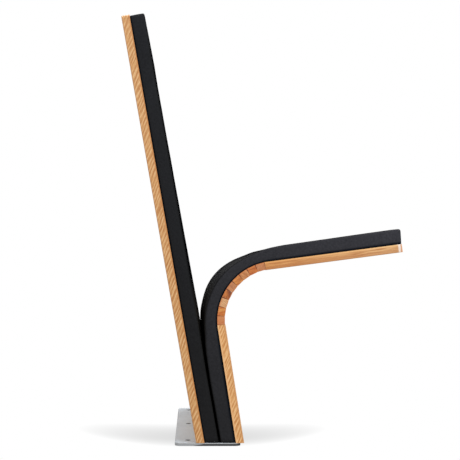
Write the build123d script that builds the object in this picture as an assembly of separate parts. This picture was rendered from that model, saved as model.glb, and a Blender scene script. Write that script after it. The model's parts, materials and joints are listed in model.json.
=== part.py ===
"""Tip-up auditorium seat whose seat curls up on a chain of wooden slats.

A lean upholstered back and a lower run stand on one steel floor plate. From the top of the lower run
a chain of bevelled wooden slats curls forward and carries the seat. The slats ride on steel hinge
leaves with one rod at every hinge line, and their bevelled sides close on each other when the seat
is down, so the closed slats take the push and the hinge chain takes the pull. Raised, the chain is
straight and the seat lies along the back. Two flat spring strips along the chain lift it.

Frame: millimetres, +Z up, +X across the seat, the seat faces -Y. The origin is the middle of the
floor plate's underside. The seat is modelled down, as in use.

Each run has its own plane with s along the run and n square to it: n is 0 on the wood's upholstered
face, positive into the cushion and negative into the wood.
"""

import os
from math import cos, pi, radians, sin, tan

from build123d import *

# ---- overall -------------------------------------------------------------------------------------
WIDTH = 500.0  # across the panels
LEAN = 9.95  # degrees that the back leans back
LOWER_LEAN = 9.0  # degrees that the lower run leans back
SEAT_TILT = 7.5  # degrees that the seat rises towards its front when it is down
SLATS = 9  # wooden slats in the bend
FIRST_HINGE_Z = 249.2  # height of the lowest hinge line
SLAT_PITCH = 19.65  # hinge line to hinge line
SEAT_LEN = 286.2  # last hinge line to the front edge
BACK_LEN = 896.0  # length of the back panel along its rear face

# ---- floor plate ---------------------------------------------------------------------------------
PLATE_T = 6.0
PLATE_DEPTH = 136.0
PLATE_CORNER_R = 12.0
PLATE_EDGE_R = 1.5
ANCHOR_R = 5.5
ANCHOR_COUNT = 3
ANCHOR_PITCH = 215.0
ANCHOR_INSET = 27.0  # anchor hole line to the plate's rear edge
BACK_INSET = 44.0  # back panel's foot to the plate's rear edge
FOOT_SPACE = 65.0  # between the upholstered faces of the back and the lower run at the plate

# ---- wood ----------------------------------------------------------------------------------------
BACK_T = 17.2
PANEL_T = 16.7
SLAT_T = 15.5
SLAT_GAP = 0.3  # between the closed faces of two slats
NOSING_T = 5.0
WOOD_EDGE_R = 1.5
SLAT_EDGE_R = 0.8
BACK_CORNER_R = 6.0  # upper corners of the back, seen from the front

# ---- steel ---------------------------------------------------------------------------------------
SPINE_T = 4.0
SPINE_LEN = 450.0  # height of the back's spine along the lean
SINK = 3.0  # depth of the lower spine and the seat's plate in the wood
LEAF_SINK = 2.0  # depth of a hinge leaf in its slat
LEAF_RISE = 2.0  # height of every hinge plate above the wood
LEAF_WIDTH = 430.0
SEAT_PLATE_LEN = 230.0
STEEL_CORNER_R = 15.0

# ---- hinges --------------------------------------------------------------------------------------
ROD_R = 2.5
ROD_FIT = 0.05  # radial running clearance in the knuckles
ROD_HEAD_R = 3.8
ROD_HEAD_T = 1.2
KNUCKLE_R = 4.2
KNUCKLES = 5  # on each hinge line
KNUCKLE_GAP = 0.4  # between neighbouring knuckles
COVE_GAP = 0.4  # between a knuckle and what it turns in

# ---- screws --------------------------------------------------------------------------------------
SCREW_R = 2.0
SCREW_HEAD_R = 4.0
SCREW_HEAD_T = 2.0
SCREW_LEN = 14.0
SCREW_FIT = 0.1
SLAT_SCREW_PITCH = 170.0
SLAT_SCREWS = 3
PANEL_SCREW_PITCH = 155.0
PANEL_SCREWS = 3  # in each row
SCREW_ROW_INSET = 40.0  # from the end of a steel plate to its nearest row of screws

# ---- spring strips -------------------------------------------------------------------------------
SPRING_T = 0.8
SPRING_WIDTH = 60.0
SPRING_PITCH = 190.0
SPRING_GAP = 0.2  # between the knuckles and the strips
SPRING_FOOT = 90.0  # length of a strip on the lower run
SPRING_TIP = 70.0  # length of a strip on the seat
RIVET_R = 3.0
RIVET_HEAD_R = 5.5
RIVET_HEAD_T = 1.6
RIVET_FIT = 0.05
RIVET_PITCH = 36.0
RIVET_INSET = 15.0
KEEPER_LEN = 18.0
KEEPER_T = 1.5
KEEPER_GAP = 0.3
KEEPER_INSET = 35.0  # from the last hinge line to the keepers

# ---- cushions ------------------------------------------------------------------------------------
CUSHION_T = 31.4  # at the crown
EDGE_T = 29.6  # at the sides
BEND_T = 24.5  # at the crown where the bend stretches the cushion most
BEND_EDGE_T = 23.0  # at the sides there
BEND_STATIONS = 9
CUSHION_INSET = 1.0  # from the edge of the wood to the cushion's side
NOSE_INSET = 3.0  # from the seat's front edge to the cushion's front
DRAW_IN = 2.5  # how far a side is drawn in halfway along
RIM_R = 6.0  # round of the top edges
END_CORNER_R = 8.0  # round of the free corners, seen from above
COVER_T = 1.5
SOFT_GAP = 0.3  # clearance of every soft piece
FOOT_GAP = 2.0  # cushion to floor plate
BOARD_T = 3.0
BOARD_INSET = 10.0  # from the cushion's side to its board
STUD_R = 4.0
STUD_LEN = 9.0
STUD_FIT = 0.2
STUD_INSET = 12.0  # from the board's side
STUD_END_INSET = 73.0  # from the back panel's ends to the nearest row of studs

# ---- worked out from the above -------------------------------------------------------------------
HINGES = SLATS + 1
FOLD = (90.0 + LOWER_LEAN - SEAT_TILT) / HINGES  # turn at each hinge line
HALF = WIDTH / 2
BACK_FOOT = BACK_INSET - PLATE_DEPTH / 2
LOWER_FOOT = BACK_FOOT + BACK_T / cos(radians(LEAN)) + FOOT_SPACE
LOWER_LEN = (FIRST_HINGE_Z - PLATE_T) / cos(radians(LOWER_LEAN))
COVE_R = KNUCKLE_R + COVE_GAP
BORE_R = ROD_R + ROD_FIT
ROD_HALF = LEAF_WIDTH / 2 + KNUCKLE_GAP
CHANNEL_HALF = ROD_HALF + ROD_HEAD_T + COVE_GAP  # half width of the space round the hinges
ARC_R = SLAT_PITCH / 2 / tan(radians(FOLD / 2))  # circle that touches the middle of every slat
ARC_RISE = ARC_R / cos(radians(FOLD / 2)) - ARC_R  # hinge lines outside that circle
SPRING_N = ARC_RISE + KNUCKLE_R + SPRING_GAP
SPRING_TOP = SPRING_N + SPRING_T
BRIDGE_TOP = SPRING_TOP + KEEPER_GAP + KEEPER_T
POCKET_N = max(SPRING_TOP + RIVET_HEAD_T, BRIDGE_TOP) + SOFT_GAP
CUSHION_HALF = HALF - CUSHION_INSET
PAST = 5.0  # overrun of a cutting shape
LONG = 2.5 * BACK_LEN  # longer than any piece, for cutting

ACROSS = Vector(1, 0, 0)


def spot(forward, height):
    """A point on the seat's middle plane."""
    return Vector(0, -forward, height)


def heading(angle):
    """Direction at an angle above straight ahead, in degrees."""
    return spot(cos(radians(angle)), sin(radians(angle)))


def run_plane(origin, angle):
    """Plane of a run: its x is s, along the run, and its y is n, into the cushion."""
    return Plane(origin=origin, x_dir=heading(angle), z_dir=-ACROSS)


def hinge_points():
    """Hinge lines from the lowest to the seat's, on the middle plane."""
    points = [spot(LOWER_FOOT, PLATE_T) + heading(90 + LOWER_LEAN) * LOWER_LEN]
    for number in range(1, HINGES):
        points.append(points[-1] + heading(90 + LOWER_LEAN - number * FOLD) * SLAT_PITCH)
    return points


HINGE_AT = hinge_points()
LINKS = [run_plane(HINGE_AT[max(k - 1, 0)], 90 + LOWER_LEAN - k * FOLD) for k in range(HINGES + 1)]
LOWER = LINKS[0]  # origin on the lowest hinge line, s is negative below it
SEAT = LINKS[-1]  # origin on the seat's hinge line
BACK_FACE = Plane(
    origin=spot(BACK_FOOT, PLATE_T) + heading(LEAN) * BACK_T, x_dir=heading(90 + LEAN), z_dir=ACROSS
)
BEND_START = Plane(
    origin=LOWER.from_local_coords((-SLAT_PITCH / 2, 0, 0)), x_dir=ACROSS, z_dir=LOWER.x_dir
)
BEND_AXIS = Axis(LOWER.from_local_coords((-SLAT_PITCH / 2, -ARC_R, 0)), ACROSS)


# ---- building blocks -----------------------------------------------------------------------------
def bar(plane, s_low, s_high, n_low, n_high, half, middle=0.0):
    """Box on a run's plane, with its middle at x = middle."""
    face = Rectangle(s_high - s_low, n_high - n_low)
    place = Pos((s_low + s_high) / 2, (n_low + n_high) / 2)
    return Pos(middle, 0, 0) * extrude(plane * place * face, half, both=True)


def across(plane, s, n, radius, half, middle=0.0):
    """Round bar along x through a point of a run's plane."""
    return Pos(middle, 0, 0) * extrude(plane * Pos(s, n) * Circle(radius), half, both=True)


def above(height):
    """Everything above a level."""
    return Pos(0, 0, height + LONG / 2) * Box(LONG, LONG, LONG)


def past_bevel(plane, s, side):
    """Everything past a closing face, which leans by half a fold and keeps half the slat gap."""
    place = Rot(0, 0, -side * FOLD / 2) * Pos(side * (LONG - SLAT_GAP) / 2, 0)
    return extrude(plane * Pos(s, 0) * place * Rectangle(LONG, LONG), LONG, both=True)


def turned(plane, s, x, outline):
    """Solid of revolution about the n direction from (radius, n) points, at a place on a run."""
    side = 1 if plane.z_dir.X > 0 else -1
    stand = plane.location * Pos(s, 0, side * x)
    return stand * revolve(make_face(Polyline(*outline, close=True)), Axis.Y)


def screw(plane, s, n, x, fit=0.0):
    """Countersunk screw driven into the wood, with its head's top at n."""
    head, shank, tip = SCREW_HEAD_R + fit, SCREW_R + fit, n - SCREW_LEN - fit
    outline = [(0, n), (head, n), (shank, n - SCREW_HEAD_T), (shank, tip), (0, tip)]
    return turned(plane, s, x, outline)


def spread(count, pitch):
    """Places of evenly spaced copies about the middle."""
    return [(k - (count - 1) / 2) * pitch for k in range(count)]


def along(plane, shape):
    """Edges of a shape that run along s."""
    return shape.edges().filter_by(Axis(plane.origin, plane.x_dir))


def rounded_outer_edges(panel, plane, thickness):
    """Rounds the long edges of a panel's outer face."""
    outer = [e for e in along(plane, panel) if abs(plane.to_local_coords(e).center().Y + thickness) < 0.01]
    return fillet(outer, WOOD_EDGE_R)


def rounded_corners(plate, plane):
    """Rounds the two corners of a plate that lie furthest along s."""
    square = plate.edges().filter_by(Axis(plane.origin, plane.y_dir))
    return fillet(square.sort_by(lambda e: plane.to_local_coords(e).center().X)[-2:], STEEL_CORNER_R)


# ---- floor plate ---------------------------------------------------------------------------------
def base_plate():
    plate = extrude(RectangleRounded(WIDTH, PLATE_DEPTH, PLATE_CORNER_R), PLATE_T)
    plate = fillet(plate.faces().sort_by(Axis.Z)[-1].edges(), PLATE_EDGE_R)
    rear = PLATE_DEPTH / 2 - ANCHOR_INSET
    hole = Pos(0, rear, PLATE_T / 2) * Cylinder(ANCHOR_R, 2 * PLATE_T)
    return plate - [Pos(x, 0, 0) * hole for x in spread(ANCHOR_COUNT, ANCHOR_PITCH)]


# ---- back ----------------------------------------------------------------------------------------
def spine_blank():
    """Plate let into the back panel's front face, flush with the wood."""
    plate = bar(BACK_FACE, -PAST * SPINE_T, SPINE_LEN, -SPINE_T, 0, LEAF_WIDTH / 2)
    return rounded_corners(plate, BACK_FACE)


def back_screws(fit=0.0):
    low, high = 2 * SCREW_ROW_INSET, SPINE_LEN - SCREW_ROW_INSET
    rows = (low, (low + high) / 2, high)
    return [screw(BACK_FACE, s, 0, x, fit) for s in rows for x in spread(PANEL_SCREWS, PANEL_SCREW_PITCH)]


def back_spine():
    return (spine_blank() & above(PLATE_T)) - back_screws(SCREW_FIT)


def studs(fit=0.0):
    """Push-in studs of the back cushion's board."""
    side = CUSHION_HALF - BOARD_INSET - STUD_INSET
    depth = STUD_LEN + fit
    outline = [(0, BOARD_T / 2), (STUD_R + fit, BOARD_T / 2), (STUD_R + fit, -depth), (0, -depth)]
    rows = (STUD_END_INSET, BACK_LEN / 2, BACK_LEN - STUD_END_INSET)
    return [turned(BACK_FACE, s, x, outline) for s in rows for x in (-side, side)]


def back_panel():
    panel = bar(BACK_FACE, -PAST * BACK_T, BACK_LEN, -BACK_T, 0, HALF)
    square = panel.edges().filter_by(Axis(BACK_FACE.origin, BACK_FACE.y_dir))
    panel = fillet(square.sort_by(Axis.Z)[-2:], BACK_CORNER_R)
    rear = panel.faces().sort_by(lambda f: BACK_FACE.to_local_coords(f).center().Y)[0]
    panel = fillet(rear.edges(), WOOD_EDGE_R) & above(PLATE_T)
    return panel - spine_blank() - back_screws(SCREW_FIT) - studs(STUD_FIT)


# ---- hinge parts ---------------------------------------------------------------------------------
def knuckles(plane, s, upper, sink):
    """Knuckles about the hinge line at s, on the upper or the lower edge of a plate."""
    pitch = LEAF_WIDTH / KNUCKLES
    half = (pitch - KNUCKLE_GAP) / 2
    reach = -COVE_R - COVE_GAP if upper else COVE_R + COVE_GAP
    low, high = sorted((s, s + reach))
    pieces = []
    for x in spread(KNUCKLES, pitch)[0 if upper else 1 :: 2]:
        web = bar(plane, low, high, -sink, LEAF_RISE, half, x)
        eye = across(plane, s, 0, KNUCKLE_R, half, x) + web
        pieces.append(eye - across(plane, s, 0, BORE_R, half + PAST, x))
    return pieces


def hinge_leaf(link):
    plane = LINKS[link]
    plate = bar(plane, COVE_R, SLAT_PITCH - COVE_R, -LEAF_SINK, LEAF_RISE, LEAF_WIDTH / 2)
    plate = plate + knuckles(plane, 0, False, LEAF_SINK) + knuckles(plane, SLAT_PITCH, True, LEAF_SINK)
    return plate - slat_screws(link, SCREW_FIT)


def slat_screws(link, fit=0.0):
    places = spread(SLAT_SCREWS, SLAT_SCREW_PITCH)
    return [screw(LINKS[link], SLAT_PITCH / 2, LEAF_RISE, x, fit) for x in places]


def slat(link):
    """Bevelled slat with a channel for its hinge leaf, the knuckles and the rods."""
    plane = LINKS[link]
    block = bar(plane, 0, SLAT_PITCH, -SLAT_T, 0, HALF)
    block -= past_bevel(plane, 0, -1)
    block -= past_bevel(plane, SLAT_PITCH, 1)
    lengthwise = block.edges().filter_by(Axis.X)
    block = fillet(lengthwise.sort_by(lambda e: plane.to_local_coords(e).center().Y)[:2], SLAT_EDGE_R)
    block -= bar(plane, -PAST, SLAT_PITCH + PAST, -LEAF_SINK, PAST, CHANNEL_HALF)
    block -= [across(plane, s, 0, COVE_R, CHANNEL_HALF) for s in (0, SLAT_PITCH)]
    return block - slat_screws(link, SCREW_FIT)


def hinge_rod(number):
    """Rod with a head at each end; number 0 is the lowest."""
    plane = Plane(origin=HINGE_AT[number], x_dir=(0, 1, 0), z_dir=ACROSS)
    rod = across(plane, 0, 0, ROD_R, ROD_HALF)
    edge = ROD_HALF + ROD_HEAD_T / 2
    return rod + [across(plane, 0, 0, ROD_HEAD_R, ROD_HEAD_T / 2, side * edge) for side in (-1, 1)]


def hinge_room(plane):
    """Room at the hinge end of a panel for the knuckles and the rod's heads."""
    room = bar(plane, -COVE_R - COVE_GAP, COVE_R + COVE_GAP, -SINK, PAST, CHANNEL_HALF)
    return [room, across(plane, 0, 0, COVE_R, CHANNEL_HALF)]


# ---- lower run -----------------------------------------------------------------------------------
def rivet_places():
    foot = -SLAT_PITCH / 2 - SPRING_FOOT + RIVET_INSET
    return [(foot, x + offset) for x in spread(2, SPRING_PITCH) for offset in spread(2, RIVET_PITCH)]


def rivet_holes(low, high):
    outline = [(0, low), (RIVET_R, low), (RIVET_R, high), (0, high)]
    return [turned(LOWER, s, x, outline) for s, x in rivet_places()]


def spring_rivets():
    """Rivets with a collar that holds each strip clear of the spine."""
    shank = RIVET_R - RIVET_FIT
    head_top = SPRING_TOP + RIVET_HEAD_T
    outline = [
        (0, -SINK),
        (shank, -SINK),
        (shank, LEAF_RISE),
        (RIVET_HEAD_R, LEAF_RISE),
        (RIVET_HEAD_R, SPRING_N),
        (shank, SPRING_N),
        (shank, SPRING_TOP),
        (RIVET_HEAD_R, SPRING_TOP),
        (shank, head_top),
        (0, head_top),
    ]
    return [turned(LOWER, s, x, outline) for s, x in rivet_places()]


def lower_screws(fit=0.0):
    rows = (2 * SCREW_ROW_INSET - LOWER_LEN, -SCREW_ROW_INSET)
    return [screw(LOWER, s, LEAF_RISE, x, fit) for s in rows for x in spread(PANEL_SCREWS, PANEL_SCREW_PITCH)]


def lower_spine():
    """Upright plate of the lower run, whose upper edge carries the first hinge line."""
    plate = bar(LOWER, -LOWER_LEN - PAST * SINK, -COVE_R, -SINK, LEAF_RISE, LEAF_WIDTH / 2)
    plate = plate + knuckles(LOWER, 0, True, SINK)
    return (plate & above(PLATE_T)) - lower_screws(SCREW_FIT) - rivet_holes(-SINK - PAST, LEAF_RISE + PAST)


def lower_panel():
    panel = bar(LOWER, -LOWER_LEN - PAST * PANEL_T, 0, -PANEL_T, 0, HALF)
    panel = rounded_outer_edges(panel - past_bevel(LOWER, 0, 1), LOWER, PANEL_T) & above(PLATE_T)
    panel -= bar(LOWER, -LOWER_LEN - PAST * PANEL_T, 0, -SINK, PAST, LEAF_WIDTH / 2)
    return panel - hinge_room(LOWER) - lower_screws(SCREW_FIT)


# ---- seat ----------------------------------------------------------------------------------------
def seat_screws(fit=0.0):
    rows = (2 * SCREW_ROW_INSET, SEAT_PLATE_LEN - SCREW_ROW_INSET)
    return [screw(SEAT, s, LEAF_RISE, x, fit) for s in rows for x in spread(PANEL_SCREWS, PANEL_SCREW_PITCH)]


def seat_plate_blank():
    plate = bar(SEAT, COVE_R, SEAT_PLATE_LEN, -SINK, LEAF_RISE, LEAF_WIDTH / 2)
    return rounded_corners(plate, SEAT)


def seat_plate():
    """Plate of the seat, hinged at its rear edge, with a bridge that guides each spring strip."""
    plate = seat_plate_blank() + knuckles(SEAT, 0, False, SINK)
    low, high = KEEPER_INSET, KEEPER_INSET + KEEPER_LEN
    for x in spread(2, SPRING_PITCH):
        half = SPRING_WIDTH / 2 + KEEPER_GAP
        plate += bar(SEAT, low, high, LEAF_RISE, BRIDGE_TOP, half + 2 * KEEPER_T, x)
        plate -= bar(SEAT, low - PAST, high + PAST, LEAF_RISE, BRIDGE_TOP - KEEPER_T, half, x)
    return plate - seat_screws(SCREW_FIT)


def seat_panel():
    panel = bar(SEAT, 0, SEAT_LEN - NOSING_T, -PANEL_T, 0, HALF)
    panel = rounded_outer_edges(panel - past_bevel(SEAT, 0, -1), SEAT, PANEL_T)
    return panel - seat_plate_blank() - hinge_room(SEAT) - seat_screws(SCREW_FIT)


def seat_nosing():
    """Solid wood lipping along the seat's front edge."""
    strip = bar(SEAT, SEAT_LEN - NOSING_T, SEAT_LEN, -PANEL_T, 0, HALF)
    front = strip.faces().sort_by(lambda f: SEAT.to_local_coords(f).center().X)[-1]
    return fillet(front.edges(), WOOD_EDGE_R)


# ---- spring strips -------------------------------------------------------------------------------
def return_springs():
    """Flat strips over the knuckles: straight on the two runs and one arc over the bend."""
    strips = []
    half, bend = SPRING_WIDTH / 2, SLAT_PITCH / 2
    for x in spread(2, SPRING_PITCH):
        ring = BEND_START * Pos(x, (SPRING_N + SPRING_TOP) / 2) * Rectangle(SPRING_WIDTH, SPRING_T)
        strip = revolve(ring, BEND_AXIS, FOLD * HINGES)
        strip += bar(LOWER, -bend - SPRING_FOOT, -bend, SPRING_N, SPRING_TOP, half, x)
        strip += bar(SEAT, bend, bend + SPRING_TIP, SPRING_N, SPRING_TOP, half, x)
        strips.append(strip - rivet_holes(0, SPRING_TOP + PAST))
    return strips


# ---- cushions ------------------------------------------------------------------------------------
def section(inset, base, stretch=0.0):
    """A cushion's section, as (x, n): flat below, crowned above, and thinner by its share of stretch."""
    half = CUSHION_HALF - inset
    edge = EDGE_T - stretch * (EDGE_T - BEND_EDGE_T) - inset
    crown = CUSHION_T - stretch * (CUSHION_T - BEND_T) - inset
    sides = [
        Line((-half, base), (half, base)),
        Line((half, base), (half, edge)),
        ThreePointArc((half, edge), (0, crown), (-half, edge)),
        Line((-half, edge), (-half, base)),
    ]
    return make_face(sides)


def bend_form(inset, base):
    """Form over the bend, thinnest a little past its middle."""
    stations = []
    for number in range(BEND_STATIONS):
        way = number / (BEND_STATIONS - 1)
        face = section(inset, base, sin(pi * way**1.3) ** 2)
        face = fillet(face.vertices().sort_by(Axis.Y)[-2:], RIM_R - inset)
        stations.append((BEND_START * face).rotate(BEND_AXIS, way * FOLD * HINGES))
    return loft(stations)


def straight_form(plane, s_low, s_high, inset, base, free=False):
    """Form on a straight run: crowned across, sides drawn in; a free end has round corners."""
    length = s_high - s_low - (inset if free else 0)
    half = CUSHION_HALF - inset
    start = plane.from_local_coords((s_low, 0, 0))
    end_plane = Plane(origin=start, x_dir=plane.y_dir.cross(plane.x_dir), z_dir=plane.x_dir)
    body = extrude(end_plane * section(inset, base), length)
    waist = half - DRAW_IN
    outline = make_face(
        [
            ThreePointArc((0, half), (length / 2, waist), (length, half)),
            Line((length, half), (length, -half)),
            ThreePointArc((length, -half), (length / 2, -waist), (0, -half)),
            Line((0, -half), (0, half)),
        ]
    )
    if free:
        outline = fillet(outline.vertices().sort_by(Axis.X)[-2:], END_CORNER_R - inset)
    flat = Plane(origin=start, x_dir=plane.x_dir, z_dir=plane.y_dir)
    body = body & extrude(flat * outline, LONG, both=True)
    return fillet(rim_edges(body, flat, length, inset, free), RIM_R - inset)


def rim_edges(body, flat, length, inset, free):
    """Top edges of a form, apart from those on the planes where the next form follows."""
    joints = [0] if free else [0, length]
    rims = []
    for edge in body.edges():
        points = [flat.to_local_coords(edge) @ t for t in (0, 0.5, 1)]
        on_joint = any(all(abs(p.X - place) < 0.01 for p in points) for place in joints)
        if not on_joint and min(p.Z for p in points) > EDGE_T - inset - 1:
            rims.append(edge)
    return rims


def hinge_pocket(plane, s_low, s_high):
    return bar(plane, s_low, s_high, -PAST, POCKET_N, CHANNEL_HALF)


def shell(form):
    """Cover and foam from a form given by its inset and base."""
    inner = form(COVER_T, 0)
    return form(0, 0) - inner, inner


def back_cushion():
    """Cover, foam and board of the back cushion."""
    low, high = -PAST * COVER_T - EDGE_T * tan(radians(LEAN)), BACK_LEN - CUSHION_INSET
    clip = above(PLATE_T + FOOT_GAP)
    cover, foam = shell(lambda inset, base: straight_form(BACK_FACE, low, high, inset, base, True))
    half = CUSHION_HALF - BOARD_INSET
    board = bar(BACK_FACE, low, high - BOARD_INSET, 0, BOARD_T, half) & clip
    return cover & clip, (foam & clip) - board, board + studs()


def lower_cushion():
    """Cover and foam in front of the lower spine."""
    low, high = -LOWER_LEN - PAST, -SLAT_PITCH / 2
    clip = above(PLATE_T + FOOT_GAP)
    cover, foam = shell(lambda inset, base: straight_form(LOWER, low, high, inset, base))
    return cover & clip, (foam & clip) - hinge_pocket(LOWER, low - PAST, high + PAST)


def bend_cushion():
    """Cover and foam over the slats."""
    base = ARC_RISE + SOFT_GAP
    cover = bend_form(0, base) - bend_form(COVER_T, base - PAST)
    pocket = Pos(0, POCKET_N / 2) * Rectangle(2 * CHANNEL_HALF, POCKET_N)
    return cover, bend_form(COVER_T, base) - revolve(BEND_START * pocket, BEND_AXIS, FOLD * HINGES)


def seat_cushion():
    """Cover and foam on the seat."""
    low, high = SLAT_PITCH / 2, SEAT_LEN - NOSE_INSET
    cover, foam = shell(lambda inset, base: straight_form(SEAT, low, high, inset, base, True))
    return cover, foam - hinge_pocket(SEAT, low - PAST, SEAT_PLATE_LEN + SOFT_GAP)


# ---- the nodes -----------------------------------------------------------------------------------
def nodes():
    """Every node's name with its solid or its group of solids."""
    yield "base_plate", base_plate()
    yield "back_spine", back_spine()
    yield "back_panel", back_panel()
    yield "back_screws", back_screws()
    yield "lower_spine", lower_spine()
    yield "lower_panel", lower_panel()
    yield "lower_screws", lower_screws()
    for link in range(1, SLATS + 1):
        yield f"slat_{link}", slat(link)
        yield f"hinge_leaf_{link}", hinge_leaf(link)
        yield f"slat_screws_{link}", slat_screws(link)
    for number in range(HINGES):
        yield f"hinge_rod_{number + 1}", hinge_rod(number)
    yield "seat_plate", seat_plate()
    yield "seat_panel", seat_panel()
    yield "seat_nosing", seat_nosing()
    yield "seat_screws", seat_screws()
    yield "return_springs", return_springs()
    yield "spring_rivets", spring_rivets()
    yield from zip(("back_cover", "back_foam", "back_board"), back_cushion())
    yield from zip(("lower_cover", "lower_foam"), lower_cushion())
    yield from zip(("bend_cover", "bend_foam"), bend_cushion())
    yield from zip(("seat_cover", "seat_foam"), seat_cushion())


os.makedirs("parts", exist_ok=True)
for name, shape in nodes():
    group = Compound(children=shape) if isinstance(shape, list) else shape
    export_step(group, f"parts/{name}.step")
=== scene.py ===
"""Looks of the tip-up seat: plywood and slat edges, black upholstery, satin floor plate and lights.

Everything is in metres in the part's own frame: +Z up, +X across the seat, the seat faces -Y. Along a run,
s is the distance along the wood, and n the height above its upholstered face. The woods are drawn in
millimetres of s, n and x. Colours are 8-bit display values, while tints and light levels are linear. A pair
of numbers for a mask tells where it starts and where it is whole.
"""

import json
from math import cos, pi, radians, sin, sqrt, tan

import bpy
from mathutils import Matrix, Vector, noise

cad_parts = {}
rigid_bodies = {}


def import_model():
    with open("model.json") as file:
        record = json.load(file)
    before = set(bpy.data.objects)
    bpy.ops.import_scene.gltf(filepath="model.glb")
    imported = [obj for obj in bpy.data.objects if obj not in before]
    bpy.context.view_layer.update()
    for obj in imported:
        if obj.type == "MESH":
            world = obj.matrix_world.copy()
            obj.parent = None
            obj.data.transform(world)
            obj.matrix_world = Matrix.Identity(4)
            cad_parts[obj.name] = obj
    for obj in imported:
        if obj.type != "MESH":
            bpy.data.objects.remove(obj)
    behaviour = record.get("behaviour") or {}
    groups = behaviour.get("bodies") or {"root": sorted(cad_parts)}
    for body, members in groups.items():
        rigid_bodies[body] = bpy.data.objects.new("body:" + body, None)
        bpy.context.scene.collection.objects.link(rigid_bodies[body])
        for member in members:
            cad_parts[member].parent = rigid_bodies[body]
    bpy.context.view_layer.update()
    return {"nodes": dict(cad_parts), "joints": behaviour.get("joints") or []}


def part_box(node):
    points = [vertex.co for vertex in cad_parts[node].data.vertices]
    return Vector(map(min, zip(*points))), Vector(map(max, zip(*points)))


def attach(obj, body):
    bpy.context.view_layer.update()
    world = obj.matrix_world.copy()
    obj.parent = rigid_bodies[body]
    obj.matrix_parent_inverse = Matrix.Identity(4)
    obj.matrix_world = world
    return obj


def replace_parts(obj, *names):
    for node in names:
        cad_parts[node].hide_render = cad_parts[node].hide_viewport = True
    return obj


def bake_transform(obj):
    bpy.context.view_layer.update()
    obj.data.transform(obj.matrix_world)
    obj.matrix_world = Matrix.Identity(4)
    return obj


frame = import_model()
MM = 0.001

# ---- the photograph's camera ---------------------------------------------------------------------
PHOTO_PX = 460  # width and height of the photograph
SENSOR = 36.0  # millimetres
FOCAL_PX = 978.0
VIEW_PX = (193.5, 266.0)  # pixel that the camera looks at squarely
SCALE = 2.0627 * MM  # metres per pixel in the plane of the seat's near side
FLOOR_PX = 446.0  # pixel row of the floor under the near side
ANCHOR_PX = 187.8  # pixel column of the anchor holes
ANCHOR_Y = 41 * MM

# ---- runs of the chain ---------------------------------------------------------------------------
ACROSS = Vector((1, 0, 0))
HINGES = [Vector(joint["pos_m"]) for joint in frame["joints"]]
CHAIN = [joint["parent"] for joint in frame["joints"]] + [frame["joints"][-1]["child"]]
FOLD = radians(frame["joints"][0]["range_deg"][1])
PITCH = (HINGES[1] - HINGES[0]).length


class Run:
    """A straight run: its origin on a hinge line, s along it and n out of its upholstered face."""

    def __init__(self, origin, along, out=None):
        self.origin = origin
        self.along = along
        self.out = out or -ACROSS.cross(along)

    def at(self, s, n=0.0, x=0.0):
        return self.origin + self.along * s + self.out * n + ACROSS * x


FIRST_LINK = (HINGES[1] - HINGES[0]).normalized()
HEADINGS = [Matrix.Rotation((k - 1) * FOLD, 3, "X") @ FIRST_LINK for k in range(len(HINGES) + 1)]
RUNS = [Run(HINGES[max(k - 1, 0)], heading) for k, heading in enumerate(HEADINGS)]
LOWER, SEAT = RUNS[0], RUNS[-1]
ARC_R = PITCH / 2 / tan(FOLD / 2)
BEND = FOLD * len(HINGES)
BEND_LEN = ARC_R * BEND
BEND_CENTRE = LOWER.at(-PITCH / 2, -ARC_R)

PLATE_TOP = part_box("base_plate")[1].z
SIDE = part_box("back_panel")[1].x
SEAT_MM = 286.2  # from the last hinge line to the front of the wood
SEAT_LEN = SEAT_MM * MM
LOWER_T = 16.7 * MM
BACK_LEN = 896 * MM
BACK_T = 17.2 * MM
BACK_LEAN = radians(9.95)
BACK_FOOT = 24 * MM  # back panel's rear face at the floor plate
BACK_UP = Vector((0, sin(BACK_LEAN), cos(BACK_LEAN)))
BACK_OUT = Vector((0, -cos(BACK_LEAN), sin(BACK_LEAN)))
BACK = Run(Vector((0, BACK_FOOT, PLATE_TOP)) + BACK_OUT * BACK_T, BACK_UP, BACK_OUT)


def bend_run(angle):
    """Run from the bend's centre out through the wood, at an angle past the start of the bend."""
    return Run(BEND_CENTRE, Matrix.Rotation(angle, 3, "X") @ LOWER.along)


# ---- short ways to write materials ---------------------------------------------------------------
MIX_COLOURS = (0, 6, 7)  # sockets of a colour Mix node: factor, one colour and the other
MIX_RESULT = 2


def srgb(red, green, blue):
    """Colour from 8-bit display values, by the standard curve of displays."""
    shares = [value / 255 for value in (red, green, blue)]
    return tuple(((v + 0.055) / 1.055) ** 2.4 if v > 0.04045 else v / 12.92 for v in shares) + (1.0,)


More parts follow.
